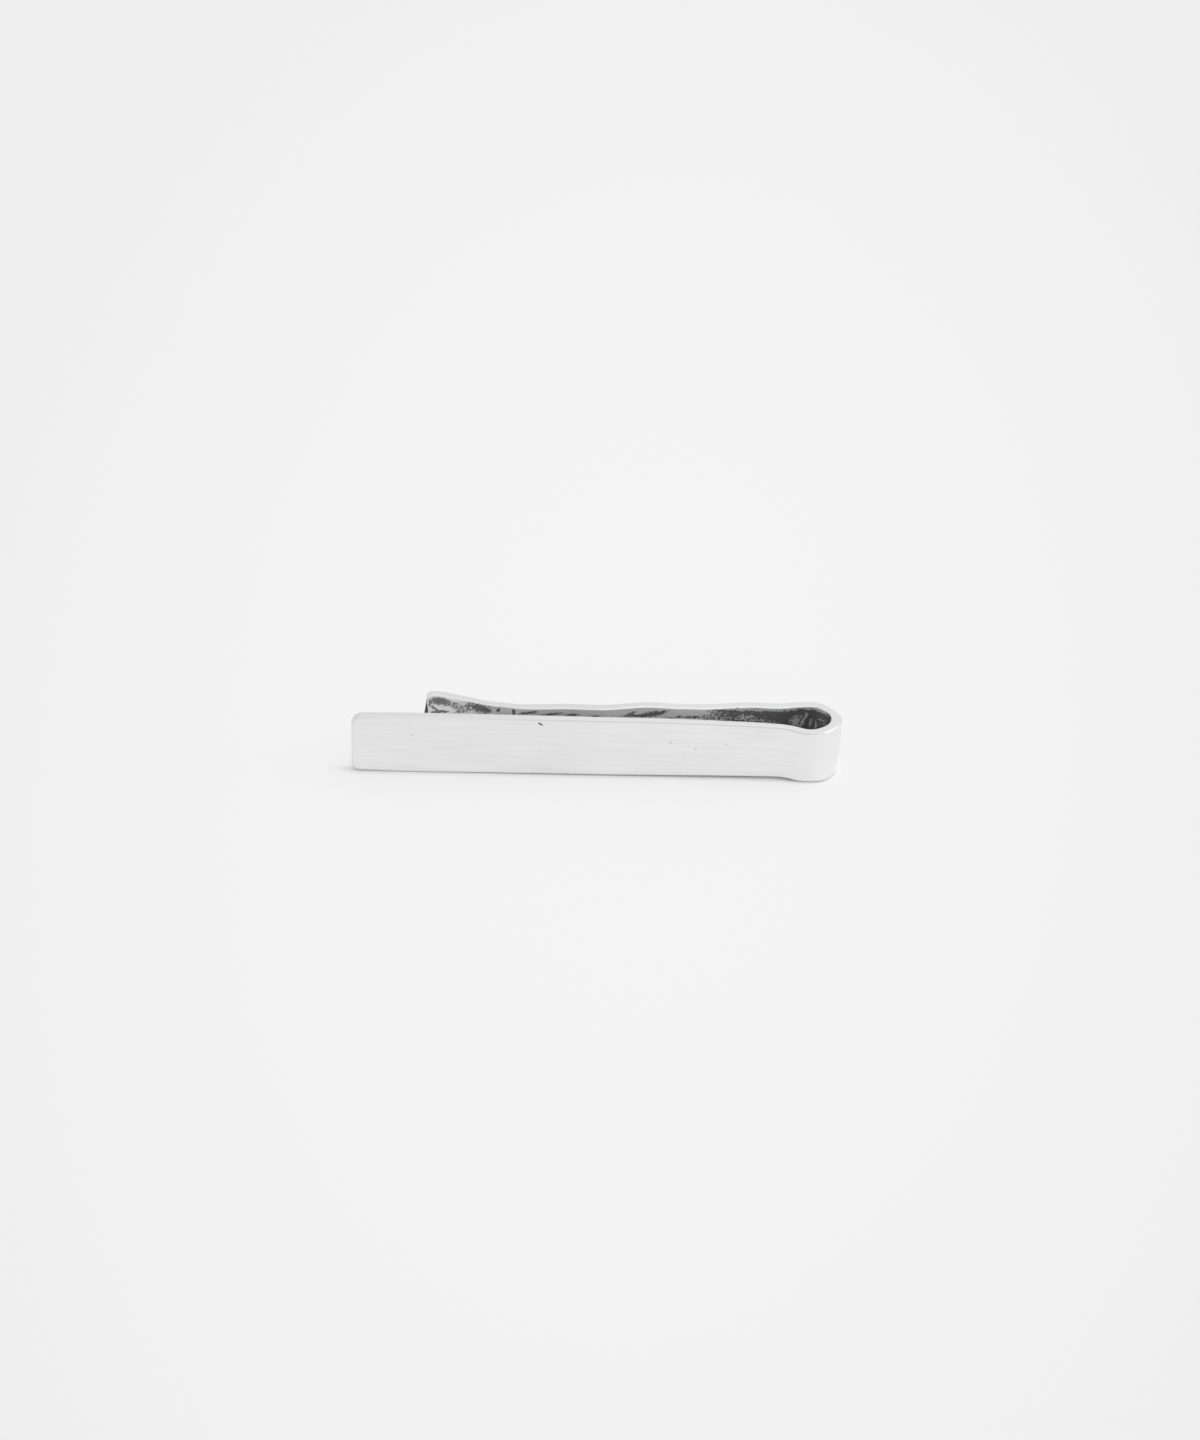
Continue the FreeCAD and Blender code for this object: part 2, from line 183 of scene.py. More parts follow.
def flatStrip(length, width, corners, edgeRadius):
    # vertices as distance, height and depth, the faces and the outlines of the seams of a strip
    # with softened edges; a strip with no corner radii has a seam at both ends
    thickness = strip["thickness"]
    if corners:
        border, outward, columns, rows = roundedBorder(length, width, *corners)
        borderIndex = [(i, 0) for i in range(columns)]
        borderIndex += [(columns, j) for j in range(rows)]
        borderIndex += [(i, rows) for i in range(columns, -1, -1)]
        chains = [range(len(border))]
    else:
        columns = round(length / strip["gridStep"])
        rows = round(width / strip["gridStep"])
        run = np.linspace(0, length, columns + 1)
        border = np.vstack([np.c_[run, 0 * run], np.c_[run[::-1], 0 * run + width]])
        outward = np.vstack([np.c_[0 * run, 0 * run - 1], np.c_[0 * run, 0 * run + 1]])
        borderIndex = [(i, 0) for i in range(columns + 1)]
        borderIndex += [(i, rows) for i in range(columns, -1, -1)]
        chains = [range(columns + 1), range(columns + 1, 2 * columns + 2)]
    radius = edgeRadius(border[:, 0])
    inset = border - outward * radius[:, None]
    low = inset[:columns + 1]
    high = inset[::-1][:columns + 1]
    if corners:
        last = inset[columns:columns + rows + 1]
        upShare = (last[:, 1] - last[0, 1]) / (last[-1, 1] - last[0, 1])
    else:
        upShare = np.linspace(0, 1, rows + 1)
        last = low[-1] + upShare[:, None] * (high[-1] - low[-1])
    first = low[0] + upShare[:, None] * (high[0] - low[0])
    grid = fillGrid(low, high, first, last).reshape(-1, 2)
    count = len(grid)
    vertices = [np.c_[grid, np.zeros(count)], np.c_[grid, np.full(count, thickness)]]

    # layers of the edge, from the outer face over the rim to the inner face
    layers = []
    quarter = np.linspace(0, math.pi / 2, strip["filletSteps"] + 1)
    for a in quarter[1:]:
        layers.append((math.sin(a), radius * (1 - math.cos(a))))
    for share in np.linspace(0, 1, strip["rimSteps"] + 1)[1:]:
        layers.append((1.0, radius + share * (thickness - 2 * radius)))
    for a in quarter[1:-1]:
        layers.append((math.cos(a), thickness - radius * (1 - math.sin(a))))
    for reach, depth in layers:
        vertices.append(np.c_[inset + outward * (radius * reach)[:, None], depth])
    vertices = np.vstack(vertices)

    def outer(i, j):
        return i * (rows + 1) + j

    def edge(layer, p):
        if layer == 0:
            return outer(*borderIndex[p])
        if layer == len(layers) + 1:
            return count + outer(*borderIndex[p])
        return 2 * count + (layer - 1) * len(border) + p

    def seamRing(i, lowPoint, highPoint):
        # outline of the cut end of the strip, where it meets its neighbour
        ring = [outer(i, j) for j in range(rows + 1)]
        ring += [edge(k, highPoint) for k in range(1, len(layers) + 1)]
        ring += [count + outer(i, j) for j in range(rows, -1, -1)]
        ring += [edge(k, lowPoint) for k in range(len(layers), 0, -1)]
        return ring

    faces = []
    for i in range(columns):
        for j in range(rows):
            quad = [outer(i, j), outer(i + 1, j), outer(i + 1, j + 1), outer(i, j + 1)]
            faces.append(quad)
            faces.append([count + corner for corner in reversed(quad)])
    for chain in chains:
        for p in chain[:-1]:
            for k in range(len(layers) + 1):
                faces.append([edge(k, p), edge(k + 1, p), edge(k + 1, p + 1), edge(k, p + 1)])
    caps = [seamRing(0, 0, len(border) - 1)]
    if not corners:
        caps.append(seamRing(columns, columns, columns + 1)[::-1])
    return vertices, faces, caps


def addPiece(name, points, faces, caps, attributes):
    # the caps have vertices of their own, so that the faces beside a seam are shaded smoothly across it
    rim = sum(caps, [])
    rings, count = [], len(points)
    for cap in caps:
        rings.append(list(range(count, count + len(cap))))
        count += len(cap)
    mesh = bpy.data.meshes.new(name)
    mesh.from_pydata(np.vstack([points, points[rim]]).tolist(), [], faces + rings)
    mesh.polygons.foreach_set("use_smooth", np.ones(len(mesh.polygons), bool))
    for label, values in attributes.items():
        kind, field = ("FLOAT_VECTOR", "vector") if values.ndim == 2 else ("FLOAT", "value")
        attribute = mesh.attributes.new(label, kind, "POINT")
        attribute.data.foreach_set(field, np.concatenate([values, values[rim]]).astype(np.float32).ravel())
    piece = bpy.data.objects.new(name, mesh)
    bpy.context.scene.collection.objects.link(piece)
    print(name, "has", count, "vertices and", len(mesh.polygons), "faces")
    return piece


def surfaceNoise(distance, height, scale, layer):
    # smooth unevenness from 0 to 1, the same on every run
    values = [
        noise.noise(Vector((d / scale, z / scale, layer + strip["seed"])))
        for d, z in zip(distance, height)
    ]
    return np.clip(0.5 + 0.5 * np.array(values), 0, 1)


def bent(start, heading, runs, distance, height, depth, leanShare):
    # strip measures to places in the frame
    x, y, angle = alongPath(start, heading, runs, distance)
    x = x - np.sin(angle) * depth + leanShare * strip["lean"] * height / strip["loopWidth"]
    y = y + np.cos(angle) * depth
    return np.c_[x, y, height]


def finishPiece(piece, node, material):
    piece.data.materials.append(material)
    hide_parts(node)


# Front bar
bar = {
    "length": frontSeam.x - barLow.x,
    "corners": (0.9 * mm, 1.25 * mm),  # at the free end, below and above
    "edgeAtEnd": 0.40 * mm,  # filed rounder at the free end than along the bar
    "edgeAtSeam": 0.18 * mm,
    "endRun": 7.0 * mm,
    "bow": 0.09 * mm,  # how far the lower edge lifts between its ends
    "planish": 0.02 * mm,  # unevenness of the front face
    "planishSize": 6.0 * mm,
    "planishLayer": 1,
    "planishRun": 0.25,  # share of the length over which it grows from the seam
    "flexReach": 4.0 * mm,
}
# nick and pits in the front face, in mm: place along the clip, height, half length, half height,
# slant and darkness
barMarks = [
    (-6.26, 6.70, 0.34, 0.16, -0.6, 1.0),
    (-20.74, 4.93, 0.14, 0.13, 0.0, 0.35),
    (-16.80, 5.53, 0.20, 0.10, 0.1, 0.12),
    (8.28, 4.60, 0.14, 0.14, 0.0, 0.45),
    (11.15, 3.81, 0.12, 0.14, 0.2, 0.40),
    (14.53, 4.47, 0.14, 0.13, 0.0, 0.35),
    (9.97, 2.61, 0.20, 0.12, 0.5, 0.12),
    (-6.34, 3.28, 0.24, 0.10, 0.0, 0.12),
    (-5.55, 0.89, 0.14, 0.10, 0.0, 0.25),
]


def makeFrontBar(material):
    length, width = bar["length"], strip["barWidth"]

    def edgeRadius(fromSeam):
        share = ramp(fromSeam, (length - bar["endRun"], length))
        return bar["edgeAtSeam"] + share * (bar["edgeAtEnd"] - bar["edgeAtSeam"])

    flat, faces, caps = flatStrip(length, width, bar["corners"], edgeRadius)
    distance = length - flat[:, 0]
    bottom = bar["bow"] * np.sin(math.pi * distance / length) ** 2 + liftAt(distance)
    height = bottom + flat[:, 1] / width * (topAt(distance) - bottom)
    place = np.c_[distance / mm, height / mm, flat[:, 2] / strip["thickness"]]
    onFace = 1 - smooth(flat[:, 2] / edgeRadius(flat[:, 0]))
    uneven = surfaceNoise(distance, height, bar["planishSize"], bar["planishLayer"])
    uneven *= bar["planish"] * ramp(flat[:, 0], (0, bar["planishRun"] * length))
    depth = flat[:, 2] + onFace * uneven
    points = bent((barLow.x, frontSeam.y), 0, [(length, 0)], distance, height, depth, distance / length)
    # the distance runs towards the free end, so the faces turn round
    faces = [face[::-1] for face in faces]
    caps = [cap[::-1] for cap in caps]
    attributes = {"place": place, "patinaAndShade": tarnishAndShade(place)}
    piece = addPiece("front_bar_strip", points, faces, caps, attributes)
    finishPiece(piece, "front_bar", material)
    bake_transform(piece)


# Spring loop
loopFarEnd = 9.4 * mm  # from the front seam along the outer face
loop = {
    "reach": 3.8 * mm,  # seams to the axis of the loop, along the clip
    "edge": bar["edgeAtSeam"],
    # where the loop is flattened: from the front seam along the outer face, how far to each side,
    # and how deep on the outer and the inner face
    "flats": [
        (6.5 * mm, 2.7 * mm, 0.0, 0.12 * mm),
        (loopFarEnd, 2.4 * mm, 0.0, 0.17 * mm),
        (12.0 * mm, 3.2 * mm, 0.42 * mm, 0.26 * mm),
    ],
    "farReach": 2.8 * mm,
    "farBelly": 0.12 * mm,  # how far the far end bulges halfway up
    "farFoot": 0.22 * mm,  # how far it is drawn in at its lower edge
    "rearRun": 4.0 * mm,  # from the far end to where the waves of the leg have their full height
}


def loopRuns():
    # shoulder, round of the loop and tail, along the outer face
    depth = -frontSeam.y
    shoulder = (loop["reach"] ** 2 + depth**2 - outerRadius**2) / (2 * (outerRadius - depth))
    turn = math.atan2(loop["reach"], depth + shoulder)
    ringTurn = math.pi + strip["slope"] + turn
    tail = loop["reach"] / math.cos(strip["slope"]) - outerRadius * math.tan(strip["slope"])
    return [(shoulder * turn, -turn), (outerRadius * ringTurn, ringTurn), (tail, 0)]


def makeSpringLoop(material):
    runs = loopRuns()
    length = pathLength(runs)

    def edgeRadius(fromSeam):
        return np.full_like(fromSeam, loop["edge"])

    flat, faces, caps = flatStrip(length, strip["loopWidth"], None, edgeRadius)
    distance, height, depth = flat.T
    along = bar["length"] + distance
    bottom = liftAt(along)
    height = bottom + height / strip["loopWidth"] * (topAt(along) - bottom)
    through = depth / strip["thickness"]
    place = np.c_[along / mm, height / mm, through]
    for at, reach, outerFlat, innerFlat in loop["flats"]:
        flatness = smooth(1 - np.abs(distance - at) / reach)
        depth = depth + flatness * (outerFlat + through * (innerFlat - outerFlat))
    up = height / strip["loopWidth"]
    bulge = 4 * loop["farBelly"] * up * (1 - up) - loop["farFoot"] * (1 - up) ** 2
    depth = depth - bulge * smooth(1 - np.abs(distance - loopFarEnd) / loop["farReach"])
    points = bent(frontSeam, 0, runs, distance, height, depth, 1)
    rear = smooth((distance - loopFarEnd) / loop["rearRun"])
    points[:, 1] += rear * waveAt(points[:, 0])
    attributes = {"place": place, "patinaAndShade": tarnishAndShade(place)}
    piece = addPiece("spring_loop_strip", points, faces, caps, attributes)
    finishPiece(piece, "spring_loop", material)
    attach(piece, "spring_loop")


# Back leg
leg = {
    "length": 40.15 * mm,  # seam to tip, along the clip
    "widening": 0.5 * mm,
    "pinchRadius": 14.0 * mm,
    "flare": math.radians(22),
    "lipRun": 1.2 * mm,
    "lipRadius": 8.0 * mm,
    "tipSlant": 1.2 * mm,
    "corners": (0.5 * mm, 0.6 * mm),  # at the tip, below and above
    "edgeAtTip": 0.20 * mm,
    "tipRun": 2.0 * mm,
    "bevel": 0.5 * mm,  # how far the lower part of the tip is cut back on the inner side
    "bevelTop": 6.8 * mm,
    "bevelRun": 2.2 * mm,
    "thinned": 0.2,  # share of the thickness filed away towards the tip
    "thinFrom": 26.0 * mm,  # from the seam
    "thinRun": 6.0 * mm,
    "endFace": 0.08 * mm,  # what counts as the end face of the tip
    "endSoft": 0.06 * mm,
    "endShade": 0.4,  # painted shade on the end face, and the darkest painted shade in a band across it
    "endShadeBand": 3.0,
    "endShadeAt": 4.9 * mm,  # height
    "endShadeReach": 2.6 * mm,
    "flexReach": 4.0 * mm,
}
# hand-forged waves of the leg and the rear of the loop, in mm: place along the clip and offset
# away from the bar
legWaves = [
    (26.0, 0.0), (23.0, -0.05), (20.4, -0.3), (17.0, -0.05), (12.0, -0.40), (9.5, -0.30), (5.5, 0.07),
    (0.6, -0.44), (-4.0, -0.2), (-8.5, -0.28), (-11.0, 0.06), (-14.7, 0.38), (-17.5, 0.2), (-20.0, 0.0),
]


def legRuns():
    slope, flare, thickness = strip["slope"], leg["flare"], strip["thickness"]
    pinchLength = leg["pinchRadius"] * (math.sin(slope) + math.sin(flare))
    lipLength = leg["lipRun"] * math.cos(flare) + leg["lipRadius"] * math.sin(flare)
    # the outer face runs a little inside the pinch bend and outside the lip
    run = (leg["length"] - pinchLength - lipLength) / math.cos(slope)
    return [
        (run, 0),
        ((leg["pinchRadius"] - thickness) * (slope + flare), -slope - flare),
        (leg["lipRun"], 0),
        ((leg["lipRadius"] + thickness) * flare, flare),
    ]


def waveAt(x):
    offset = np.zeros_like(x)
    for (fromX, fromOffset), (toX, toOffset) in zip(legWaves, legWaves[1:]):
        here = (x <= fromX * mm) & (x > toX * mm)
        share = smooth((fromX * mm - x[here]) / ((fromX - toX) * mm))
        offset[here] = (fromOffset + share * (toOffset - fromOffset)) * mm
    return offset


def makeBackLeg(material):
    runs = legRuns()
    length = pathLength(runs)

    def nearTip(fromSeam):
        return ramp(fromSeam, (length - leg["tipRun"], length))

    def edgeRadius(fromSeam):
        return loop["edge"] + nearTip(fromSeam) * (leg["edgeAtTip"] - loop["edge"])

    flat, faces, caps = flatStrip(length, strip["loopWidth"], leg["corners"], edgeRadius)
    fromSeam, height, depth = flat.T
    through = depth / strip["thickness"]
    share = fromSeam / length
    tipWidth = strip["loopWidth"] + leg["widening"]
    height = height * (1 + share * leg["widening"] / strip["loopWidth"])
    tipCut = leg["tipSlant"] - strip["lean"] * tipWidth / strip["loopWidth"]
    bevel = leg["bevel"] * smooth((leg["bevelTop"] - height) / leg["bevelRun"])
    distance = fromSeam - share * tipCut * height / tipWidth - nearTip(fromSeam) * bevel * through
    before = bar["length"] + pathLength(loopRuns())
    place = np.c_[(before + distance) / mm, height / mm, through]
    depth = depth * (1 - leg["thinned"] * smooth((fromSeam - leg["thinFrom"]) / leg["thinRun"]))
    points = bent(backSeam, math.pi + strip["slope"], runs, distance, height, depth, 1)
    points[:, 1] += waveAt(points[:, 0])
    # painted shade on the end face of the tip, darkest in a band across it
    onEnd = smooth((fromSeam - length + leg["endFace"]) / leg["endSoft"])
    shadeBand = 1 - smooth(np.abs(height - leg["endShadeAt"]) / leg["endShadeReach"])
    endShadeAmount = leg["endShade"] + shadeBand * (leg["endShadeBand"] - leg["endShade"])
    patinaAndShade = np.maximum(tarnishAndShade(place), onEnd * (endShadeAmount + 1) - 1)
    piece = addPiece("back_leg_strip", points, faces, caps, {"place": place, "patinaAndShade": patinaAndShade})
    finishPiece(piece, "back_leg", material)
    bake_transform(piece)


# Tarnish of the inner faces, with a painted shade line on the inner side of the bar's upper edge, from -1
# for bare metal to 1 for black, by distance along the whole strip from the free end of the bar and by
# height, in mm
tarnishAndShadeAmounts = {
    "bar": -0.9,
    "loop": 1.1,
    "leg": -0.2,
    "most": 1.8,  # however many patches meet
    "innerFrom": 0.89,  # share of the thickness at which it begins
    "innerSoft": 0.06,
    "cloud": 3.0,  # unevenness on the bar and low on the leg
    "cloudSize": 4.0,
    "cloudLayer": 3,
    "cloudTop": (4.3, 4.9),  # heights between which it ends on the leg
    "loopFrom": (44.0, 50.0),  # where the dark begins on the bar and ends on the leg
    "loopTo": (71.0, 74.2),
    "loopToSlant": 1.0,  # the dark ends further along above this height
    "loopToHeight": 5.8,
    "wornStrip": 1.0,  # paler under the upper edge
    "wornReach": 0.58,  # how far down that goes
    "wornSoft": 0.18,
    "wornFrom": (57.8, 59.4),  # where that begins in the loop and narrows on the leg
    "wornTo": (68.8, 73.0),
    "wornNarrowing": 0.7,
    "barEdgeShade": 1.5,  # painted shade line, darker on the inner side of the bar's upper edge
    "barEdgeShadeFrom": (11.0, 21.0),
    "barEdgeShadeReach": 0.22,
    "barEdgeShadeSoft": 0.12,
}
# patches as distance, height, half length, half height, slant and strength; pale ones are negative
patches = [
    (103.98, 6.30, 1.04, 0.37, 0.0, 2.2),
    (105.25, 5.85, 0.12, 0.30, 0.0, 1.8),
    (104.62, 5.30, 0.40, 0.12, 0.58, 2.2),
    (103.90, 4.92, 0.85, 0.13, -0.17, 2.4),
    (102.45, 6.10, 0.40, 0.28, 0.5, 0.55),
    (101.60, 6.00, 0.75, 0.42, 0.15, 0.85),
    (101.35, 5.36, 0.70, 0.16, -0.35, 0.8),
    (100.35, 6.30, 0.45, 0.38, 0.0, 0.8),
    (99.20, 6.70, 2.10, 0.16, 0.0, 0.45),
    (99.30, 6.28, 0.80, 0.50, 0.0, 1.05),
    (99.30, 6.30, 0.42, 0.24, 0.0, 0.8),
    (98.40, 6.26, 0.34, 0.30, 0.0, 1.2),
    (97.25, 6.42, 0.14, 0.18, 0.0, 2.0),
    (95.60, 6.27, 0.13, 0.36, 0.0, 2.6),
    (94.20, 6.34, 0.70, 0.13, -0.12, 1.5),
    (93.30, 6.42, 0.40, 0.12, 0.0, 1.1),
    (91.85, 6.08, 0.60, 0.11, 0.0, 1.7),
    (90.70, 6.24, 0.70, 0.13, 0.0, 1.2),
    (89.00, 6.05, 0.60, 0.12, 0.0, 1.7),
    (86.50, 5.97, 0.70, 0.09, 0.0, 1.1),
    (82.30, 6.08, 0.40, 0.12, -0.2, 1.4),
    (82.50, 5.75, 0.75, 0.13, 0.1, 1.5),
    (81.30, 5.64, 0.60, 0.13, 0.05, 1.6),
    (80.00, 5.84, 0.95, 0.27, -0.12, 1.9),
    (78.75, 6.20, 0.45, 0.13, -0.3, 1.5),
    (78.20, 5.45, 0.45, 0.08, 0.0, 1.2),
    (77.00, 5.62, 0.36, 0.12, 0.0, 1.6),
    (75.65, 5.58, 0.65, 0.11, 0.0, 1.6),
    (73.80, 5.55, 1.10, 0.34, 0.0, 0.7),
    (69.90, 6.60, 0.30, 0.12, 0.0, -0.9),
    (69.50, 5.15, 0.90, 0.40, 0.0, -0.85),
    (68.90, 5.35, 0.50, 0.20, 0.2, -0.3),
    (67.30, 4.88, 0.80, 0.18, 0.1, -0.9),
    (63.82, 4.75, 0.48, 0.60, 0.0, -1.4),
    (63.50, 6.15, 0.40, 0.15, 0.0, 1.0),
    (62.98, 4.65, 0.34, 0.36, -2.2, -1.4),
    (62.70, 5.60, 0.12, 0.35, 0.0, -0.7),
    (62.40, 4.20, 0.12, 0.30, 0.0, -0.7),
    (62.00, 4.45, 0.16, 0.44, 0.0, -1.3),
    (61.05, 4.30, 0.16, 0.38, 0.0, -1.2),
    (60.10, 5.25, 0.55, 0.14, -0.2, -0.7),
    (59.30, 5.30, 0.50, 0.12, -0.2, -0.6),
    (59.00, 4.90, 0.50, 0.12, -0.2, -0.5),
]


def tarnishAndShade(place):
    along, height, depth = place.T
    dark = ramp(along, tarnishAndShadeAmounts["loopFrom"])
    slanted = along - tarnishAndShadeAmounts["loopToSlant"] * (height - tarnishAndShadeAmounts["loopToHeight"])
    gone = ramp(slanted, tarnishAndShadeAmounts["loopTo"])
    amount = tarnishAndShadeAmounts["bar"] + dark * (tarnishAndShadeAmounts["loop"] - tarnishAndShadeAmounts["bar"])
    amount += gone * (tarnishAndShadeAmounts["leg"] - tarnishAndShadeAmounts["loop"])
    low = 1 - ramp(height, tarnishAndShadeAmounts["cloudTop"])
    cloudy = surfaceNoise(along, height, tarnishAndShadeAmounts["cloudSize"], tarnishAndShadeAmounts["cloudLayer"]) - 0.5
    amount += (1 - dark + gone * low) * tarnishAndShadeAmounts["cloud"] * cloudy
    belowTop = topAt(along * mm) / mm - height
    worn = ramp(along, tarnishAndShadeAmounts["wornFrom"]) * (1 - gone)
    reach = tarnishAndShadeAmounts["wornReach"] * (1 - tarnishAndShadeAmounts["wornNarrowing"] * ramp(along, tarnishAndShadeAmounts["wornTo"]))
    amount -= tarnishAndShadeAmounts["wornStrip"] * worn * smooth((reach - belowTop) / tarnishAndShadeAmounts["wornSoft"])
    # painted shade line along the inner side of the bar's upper edge
    onBar = ramp(along, tarnishAndShadeAmounts["barEdgeShadeFrom"]) * (along < bar["length"] / mm)
    paintedEdgeShade = smooth((tarnishAndShadeAmounts["barEdgeShadeReach"] - belowTop) / tarnishAndShadeAmounts["barEdgeShadeSoft"])
    amount += tarnishAndShadeAmounts["barEdgeShade"] * onBar * paintedEdgeShade
    # a patch has half its strength where its half length and half height end
    for at, z, halfLength, halfHeight, slant, strength in patches:
        across = (height - z - slant * (along - at)) / halfHeight
        amount += strength * smooth(1 - np.hypot((along - at) / halfLength, across) / 2)
    # on the bar it begins a little further out
    inner = smooth((depth - tarnishAndShadeAmounts["innerFrom"]) / tarnishAndShadeAmounts["innerSoft"] + onBar)
    return inner * (np.minimum(amount, tarnishAndShadeAmounts["most"]) + 1) - 1


class Wire:
    # an output socket, so that shader sums are written as sums
    def __init__(self, tree, socket=None):
        self.tree = tree
        self.socket = socket

    def node(self, kind, settings, sockets, output=0):
        made = self.tree.nodes.new(kind)
        for name, value in settings.items():
            setattr(made, name, value)
        for name, value in sockets.items():
            if isinstance(value, Wire):
                self.tree.links.new(value.socket, made.inputs[name])
            else:
                made.inputs[name].default_value = value
        # the last node of a tree has no output
        return Wire(self.tree, made.outputs[output] if len(made.outputs) else None)

    def maths(self, operation, first, second):
        return self.node("ShaderNodeMath", {"operation": operation}, {0: first, 1: second})

    def __add__(self, other):
        return self.maths("ADD", self, other)

    def __radd__(self, other):
        return self.maths("ADD", other, self)

    def __sub__(self, other):
        return self.maths("SUBTRACT", self, other)

    def __rsub__(self, other):
        return self.maths("SUBTRACT", other, self)

    def __mul__(self, other):
        return self.maths("MULTIPLY", self, other)

    def __rmul__(self, other):
        return self.maths("MULTIPLY", other, self)

    def __abs__(self):
        return self.node("ShaderNodeMath", {"operation": "ABSOLUTE"}, {0: self})

    def fade(self, low, high):
        settings = {"interpolation_type": "SMOOTHSTEP"}
        return self.node("ShaderNodeMapRange", settings, {"Value": self, "From Min": low, "From Max": high})

    def between(self, rise, fall):
        return self.fade(*rise) * (1.0 - self.fade(*fall))

    def vector(self, operation, other=(0, 0, 0), output="Vector"):
        return self.node("ShaderNodeVectorMath", {"operation": operation}, {0: self, 1: other}, output)

    def dot(self, direction):
        return self.vector("DOT_PRODUCT", direction, "Value")

    def length(self):
        return self.vector("LENGTH", output="Value")

    def grain(self, scales, detail, roughness):
        stretched = self.vector("MULTIPLY", scales)
        sockets = {"Vector": stretched, "Scale": 1.0, "Detail": detail, "Roughness": roughness}
        return self.node("ShaderNodeTexNoise", {}, sockets)

    def mixed(self, first, second):
        # this value as the factor between two colours
        return self.node("ShaderNodeMix", {"data_type": "RGBA"}, {0: self, 6: first, 7: second}, 2)


def emptyNodes(owner):
    # start of the node tree of a material or a world
    owner.use_nodes = True
    owner.node_tree.nodes.clear()
    return Wire(owner.node_tree)


def grey(value):
    return (value, value, value, 1)


# Satin silver, with painted sheen, highlights and shade. Runs are in mm along the strip
# from the free end of the bar, and depths are shares of the thickness.
silver = {
    "dull": grey(0.86),
    "bright": grey(0.94),
    "roughness": 0.36,
    "lineGrain": ((0.12, 4.2, 2.0), 5.0, 0.6),  # scales, detail and roughness of the brushed lines
    "lineContrast": 2.3,
    "lineRoughness": 0.12,
    "lineDepth": 0.004 * mm,
    "lineStrength": 0.6,
    "cloudGrain": ((0.12, 0.5, 1.0), 3.0, 0.5),
    "cloudContrast": 0.8,
    # the rims get a somewhat darker silver than the outer face, as painted shade
    "rim": grey(0.87),
    "rimPaintedShade": grey(0.81),  # painted shade on the rims, towards both free ends
    "rimDepths": ((0.12, 0.2), (0.86, 0.9)),
    "litMiddleRuns": ((8.0, 26.0), (77.0, 85.0)),
    "edge": grey(0.74),  # painted shade line where the rim meets the outer face
    "shadeLineDepths": ((0.0, 0.03), (0.1, 0.15)),
    "shadeLineAtEnds": 0.35,  # share of that line left towards both free ends
    "paintedSheen": grey(0.97),  # painted sheen round the far end of the loop, a painted highlight along the inner edge and painted light at the tip
    "loopSheen": 0.65,
    "loopSheenRuns": ((50.5, 53.5), (57.5, 61.0)),
    "innerEdgeHighlight": 0.5,
    "innerEdgeDepth": (0.74, 0.8),
    "innerEdgeRuns": ((62.0, 68.0), (80.0, 84.0)),
    "tipDepth": (0.86, 0.92),
    "tipRun": (98.0, 103.0),
    "tipPale": 0.6,  # painted light: how much less metallic, and so paler, the inner face is made towards the tip, and at its lip for a painted highlight
    "lipRun": (105.15, 105.35),
    "lipPale": 0.4,
    "markFade": (0.0, 0.8),  # from the edge of a mark to its middle
    "markThrough": 4.0,  # keeps the marks off the inner face
    "markDepth": 3.0,
}
# what the tarnishing, and the painted shade on the tip's end face, look like, with spans of their amount
tarnishAndShadeLook = {
    "film": grey(0.45),  # thin
    "filmShare": 0.45,
    "filmSpan": (-0.3, 0.5),
    "black": grey(0.24),  # thick
    "blackSpan": (0.40, 0.60),
    "shadeAndMarks": grey(0.07),  # painted shade on the tip's end face, and the dark of the nick and pits of the bar
    "endShadeSpan": (2.0, 2.8),
    "speckleGrain": ((3.0, 4.0, 1.0), 3.0, 0.6),
    "mottle": 3.0,  # how much the speckle breaks up the black, and how much more where it begins
    "mottleSpan": (-0.8, -0.1),
    "mottleMore": 4.0,
    "mottleMoreSpans": ((0.0, 0.5), (0.9, 1.2)),
    "roughness": 0.25,  # added
    "roughSpan": (-1.0, -0.3),
}


def makeMarks(place):
    # darkness of the nick and pits over the strip
    total = 0.0
    for x, z, halfLength, halfHeight, slant, darkness in barMarks:
        share = (x * mm - barLow.x) / bar["length"]
        at = share * (bar["length"] / mm - strip["lean"] * z / strip["loopWidth"])
        offset = place.vector("ADD", (-at, -z, 0))
        across = offset.dot((1 / halfLength, 0, 0))
        upward = offset.dot((-slant / halfHeight, 1 / halfHeight, 0))
        inward = offset.dot((0, 0, silver["markThrough"]))
        spread = across * across + upward * upward + inward * inward
        total = total + darkness * (1.0 - spread).fade(*silver["markFade"])
    return total


